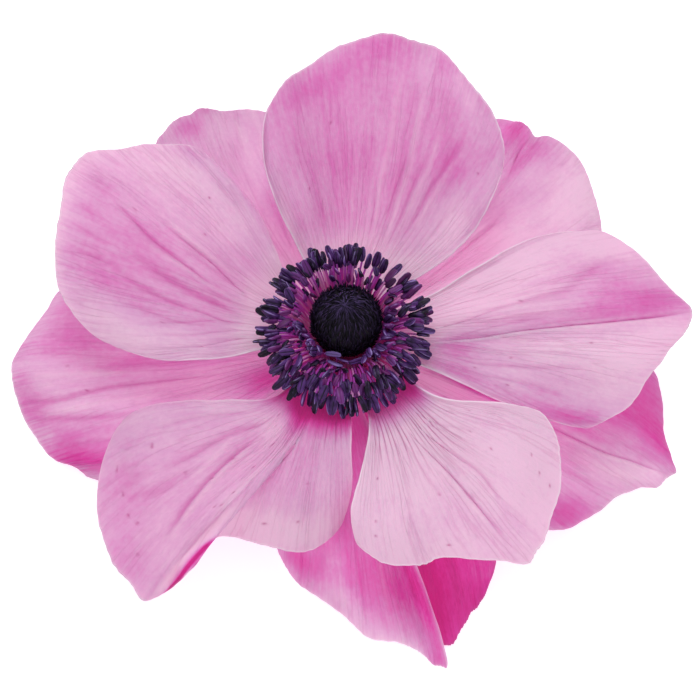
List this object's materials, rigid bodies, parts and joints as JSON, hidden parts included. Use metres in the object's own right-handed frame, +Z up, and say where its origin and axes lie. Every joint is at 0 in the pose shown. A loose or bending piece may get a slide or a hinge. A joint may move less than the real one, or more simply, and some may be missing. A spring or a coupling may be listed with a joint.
{
  "type": "anemone flower",
  "caption": "Open anemone flower picked just under the bloom: broad pink tepals in two layers round a dark domed pistil head and a ring of violet stamens, lying face up.",
  "frame": {"origin": "middle of the flower's footprint, on the surface it lies on", "axes": "+Z up out of the open bloom; +X to the right and +Y away, as seen from the front"},
  "size_m": [0.081, 0.075, 0.0201],
  "materials": {
    "inner_tepals": "matte",
    "outer_tepals": "matte",
    "stamens": "matte",
    "pistils": "satin",
    "stalk": "matte"
  },
  "bodies": {
    "root": {"stalk_and_receptacle": "stalk", "pistil_head": "pistils", "stamen_ring": "stamens", "tepal_inner_back": "inner_tepals", "tepal_inner_right": "inner_tepals", "tepal_inner_front_right": "inner_tepals", "tepal_inner_front_left": "inner_tepals", "tepal_inner_left": "inner_tepals", "tepal_outer_back_left": "outer_tepals", "tepal_outer_back_right": "outer_tepals", "tepal_outer_right": "outer_tepals", "tepal_outer_front_right": "outer_tepals", "tepal_outer_front": "outer_tepals", "tepal_outer_left": "outer_tepals"}
  },
  "joints": []
}
